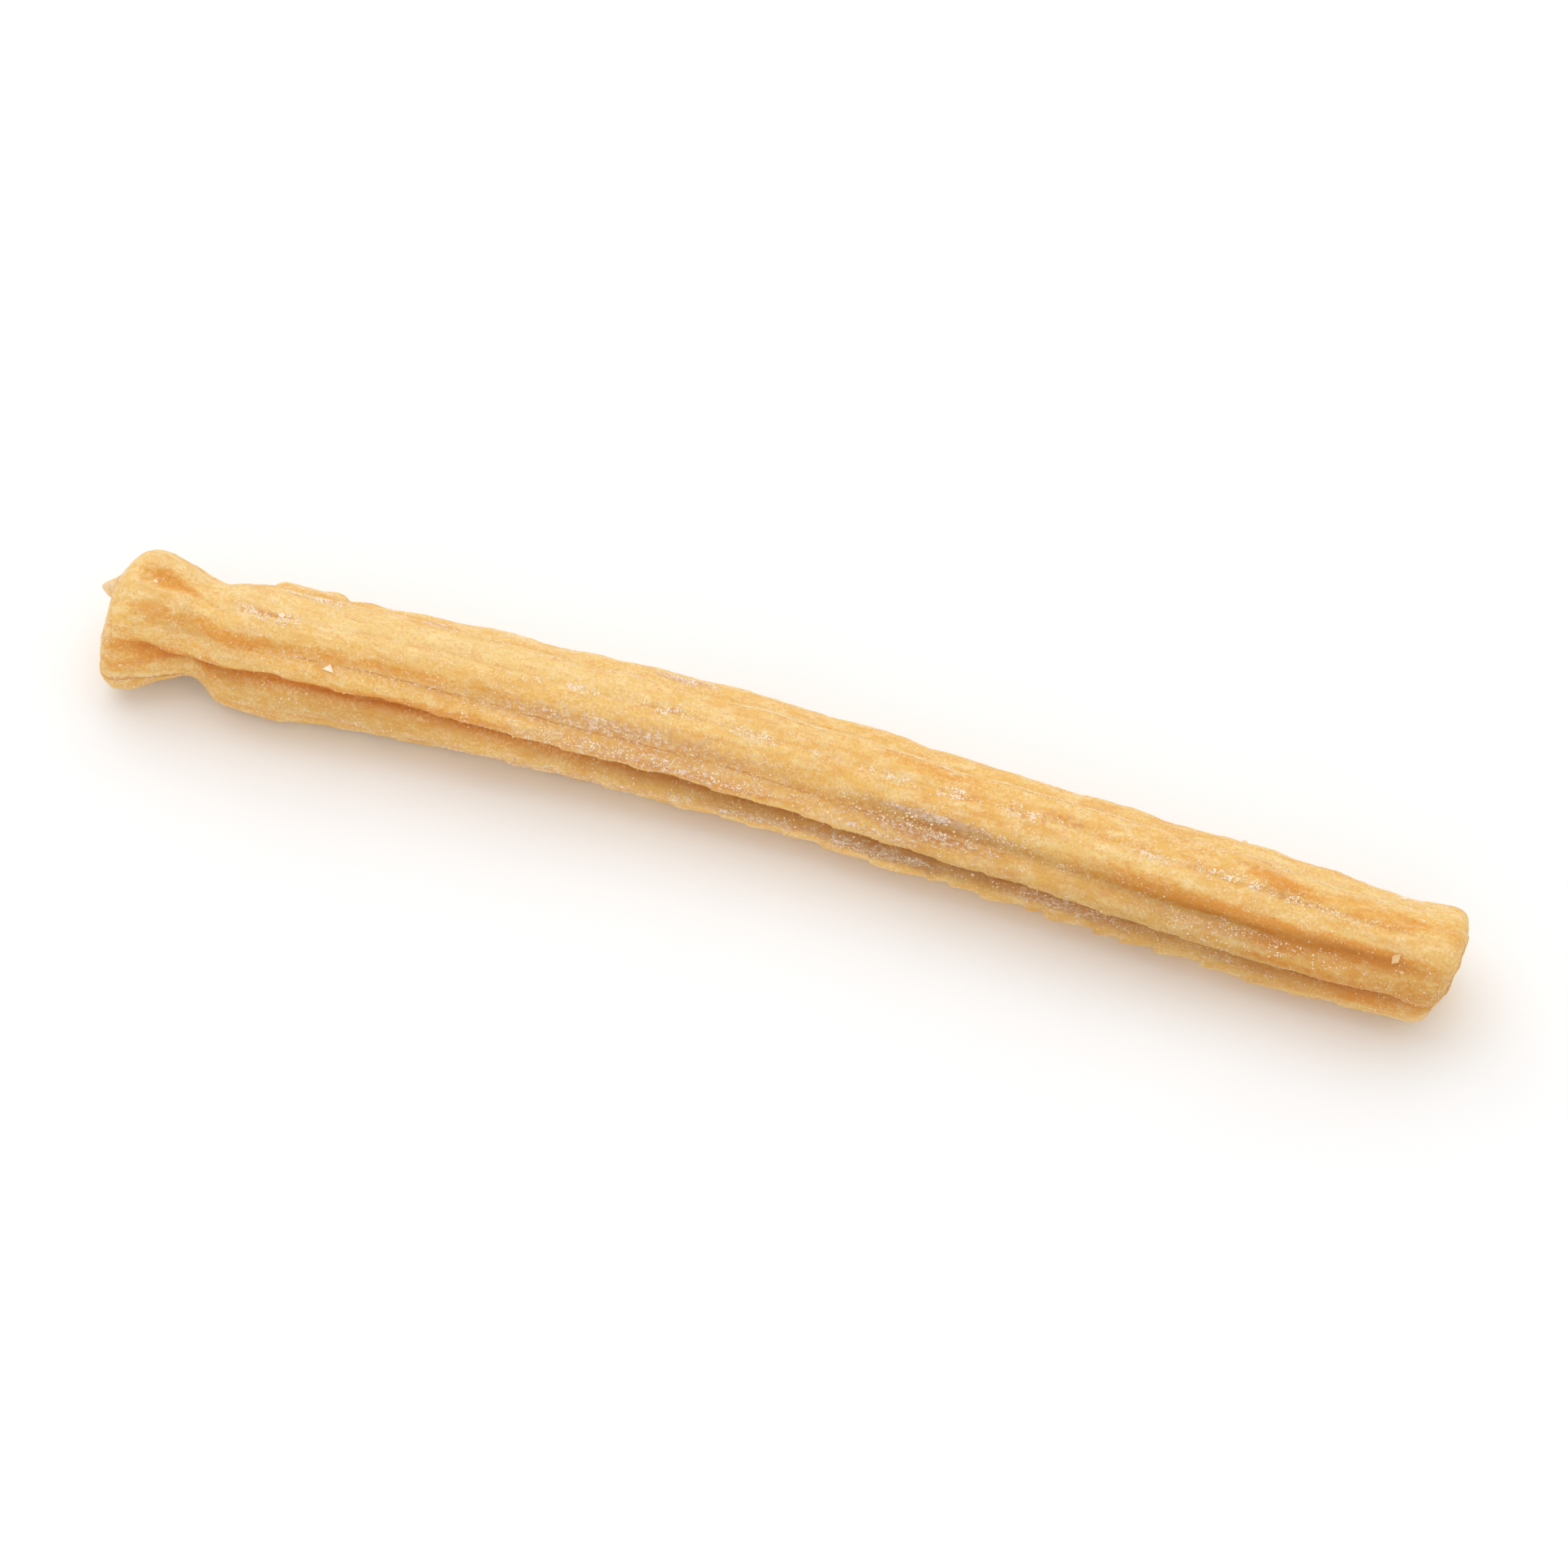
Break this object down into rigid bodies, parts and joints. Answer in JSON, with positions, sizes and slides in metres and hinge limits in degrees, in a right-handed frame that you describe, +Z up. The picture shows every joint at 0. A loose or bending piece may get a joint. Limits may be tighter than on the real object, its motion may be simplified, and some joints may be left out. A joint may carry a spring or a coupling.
{
  "type": "churro",
  "caption": "Straight stick of fried dough with rounded lobes and creases along it, a flared torn lip at the left end and a rounded cut at the right end",
  "frame": {"origin": "centre of the underside of the bounding box, on the table that the churro lies on", "axes": "+X along the churro from its flared torn lip to its cut end, -Y its front, +Z up"},
  "size_m": [0.2542, 0.0298, 0.0246],
  "materials": {
    "fried_dough": "golden fried dough, satin, with a fine bubbled crust and a little frost of sugar"
  },
  "bodies": {
    "root": {"churro": "fried_dough"}
  },
  "joints": []
}
